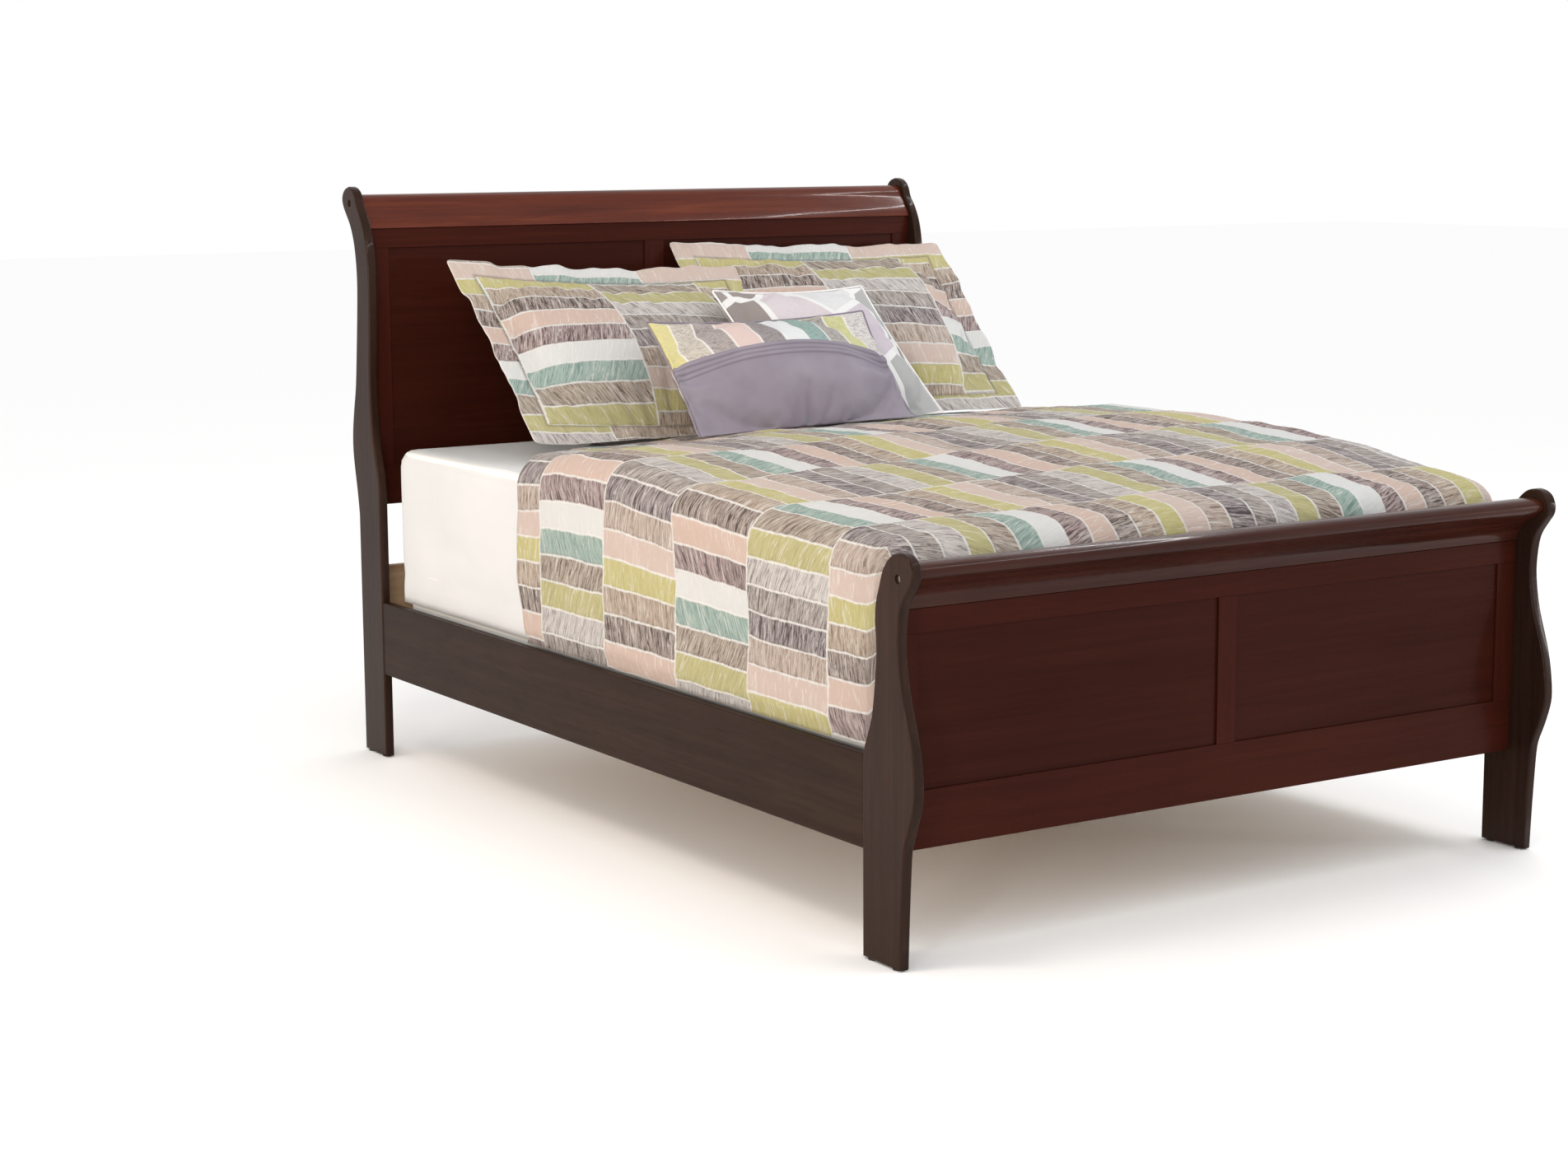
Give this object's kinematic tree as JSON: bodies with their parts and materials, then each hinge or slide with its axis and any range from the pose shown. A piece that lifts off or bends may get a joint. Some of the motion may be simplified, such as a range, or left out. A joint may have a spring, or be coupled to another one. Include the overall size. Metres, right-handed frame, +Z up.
{
  "type": "sleigh bed",
  "caption": "Panelled sleigh bed with scroll-cut posts, rolled crest rails, slatted base, box spring, mattress, patchwork quilt, shams and cushions.",
  "frame": {"origin": "floor level, centre of the overall box", "axes": "+Z up, +Y from the footboard to the headboard, +X to the right seen from the footboard"},
  "size_m": [1.6, 2.3623, 1.36],
  "materials": {
    "post_wood": "gloss",
    "crest_wood": "gloss",
    "frame_wood": "gloss",
    "panel_wood": "gloss",
    "rail_wood": "gloss",
    "raw_board": "matt",
    "pine": "matt",
    "hardware": "satin",
    "feet": "matt",
    "ticking": "matt",
    "sheet": "matt",
    "quilt": "crinkled patchwork",
    "left_sham": "crinkled patchwork",
    "right_sham": "crinkled patchwork",
    "square_pillow": "printed cotton",
    "lumbar_pillow": "pleated cotton"
  },
  "bodies": {
    "bed": {"headboard_left_post": "post_wood", "headboard_right_post": "post_wood", "headboard_crest_rail": "crest_wood", "headboard_upper_rail": "frame_wood", "headboard_bottom_rail": "frame_wood", "headboard_left_stile": "frame_wood", "headboard_right_stile": "frame_wood", "headboard_centre_stile": "frame_wood", "headboard_left_panel": "panel_wood", "headboard_right_panel": "panel_wood", "headboard_stretcher": "raw_board", "footboard_left_post": "post_wood", "footboard_right_post": "post_wood", "footboard_crest_rail": "crest_wood", "footboard_upper_rail": "frame_wood", "footboard_bottom_rail": "frame_wood", "footboard_left_stile": "frame_wood", "footboard_right_stile": "frame_wood", "footboard_centre_stile": "frame_wood", "footboard_left_panel": "panel_wood", "footboard_right_panel": "panel_wood", "left_side_rail": "rail_wood", "right_side_rail": "rail_wood", "left_slat_cleat": "pine", "right_slat_cleat": "pine", "cleat_screws": "hardware", "slats": "pine", "slat_screws": "hardware", "rail_hook_plates": "hardware", "post_slot_plates": "hardware", "frame_dowels": "pine", "crest_bolts": "hardware", "post_glides": "feet", "beam_bracket": "hardware", "centre_beam": "pine", "centre_legs": "pine", "centre_leg_bolts": "hardware", "box_spring": "ticking", "mattress": "ticking", "bed_sheet": "sheet", "quilt": "quilt", "left_sham": "left_sham", "right_sham": "right_sham", "square_pillow": "square_pillow", "lumbar_pillow": "lumbar_pillow"},
    "front_foot": {"levelling_foot_front": "feet"},
    "middle_foot": {"levelling_foot_middle": "feet"},
    "rear_foot": {"levelling_foot_rear": "feet"}
  },
  "joints": [
    {"name": "front_foot_screw", "type": "slide", "parent": "bed", "child": "front_foot", "axis": [0, 0, -1], "range_m": [0, 0.012]},
    {"name": "middle_foot_screw", "type": "slide", "parent": "bed", "child": "middle_foot", "axis": [0, 0, -1], "range_m": [0, 0.012]},
    {"name": "rear_foot_screw", "type": "slide", "parent": "bed", "child": "rear_foot", "axis": [0, 0, -1], "range_m": [0, 0.012]}
  ]
}
